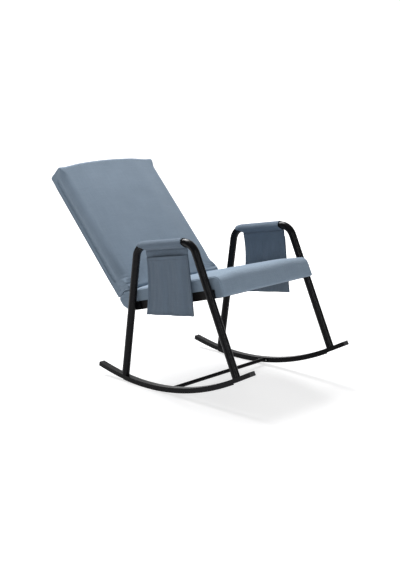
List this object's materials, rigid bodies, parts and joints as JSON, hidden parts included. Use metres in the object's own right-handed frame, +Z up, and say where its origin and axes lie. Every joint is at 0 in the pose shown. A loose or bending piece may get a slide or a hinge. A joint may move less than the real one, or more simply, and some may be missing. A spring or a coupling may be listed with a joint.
{
  "type": "rocking chair",
  "caption": "Rocking chair with bent-tube side frames on curved runners, a long reclined upholstered seat and back, and a cloth pocket hung under each arm.",
  "frame": {"origin": "floor point under the middle of the chair's overall box, midway between the side frames", "axes": "+Z up, -Y the way the sitter faces, +X to the sitter's left"},
  "size_m": [0.5996, 1.1366, 0.8301],
  "materials": {
    "frame_black": "satin black powder coat",
    "rail_black": "satin black-brown paint",
    "end_plug": "matte black plastic",
    "glide_rubber": "matte black rubber",
    "upholstery": "blue-grey plain weave",
    "pocket_cloth": "blue-grey plain weave, darker",
    "zinc": "bright zinc plate",
    "timber": "raw plywood and pine",
    "dust_cloth": "thin black non-woven cloth"
  },
  "bodies": {
    "root": {"side_tube_left": "frame_black", "side_tube_right": "frame_black", "rocker_left": "frame_black", "rocker_right": "frame_black", "glide_strip_left": "glide_rubber", "glide_strip_right": "glide_rubber", "rocker_plugs_rear": "end_plug", "rocker_plugs_front": "end_plug", "leg_lugs": "frame_black", "leg_inserts": "zinc", "crossbar": "frame_black", "crossbar_flanges": "frame_black", "flange_screws": "zinc", "seat_rail_left": "rail_black", "seat_rail_right": "rail_black", "seat_cross_front": "rail_black", "seat_cross_rear": "rail_black", "seat_bolts": "zinc", "seat_batten": "timber", "seat_deck": "timber", "seat_cushion": "upholstery", "dust_cover": "dust_cloth", "back_bracket_left": "rail_black", "back_bracket_right": "rail_black", "bracket_bolts": "zinc", "back_upright_left": "rail_black", "back_upright_right": "rail_black", "back_cross_top": "rail_black", "back_cross_low": "rail_black", "back_panel": "timber", "back_cushion": "upholstery", "back_cover": "upholstery", "arm_sleeve_left": "pocket_cloth", "arm_sleeve_right": "pocket_cloth", "pocket_panel_left": "pocket_cloth", "pocket_panel_right": "pocket_cloth", "pocket_front_left": "pocket_cloth", "pocket_front_right": "pocket_cloth"}
  },
  "joints": []
}
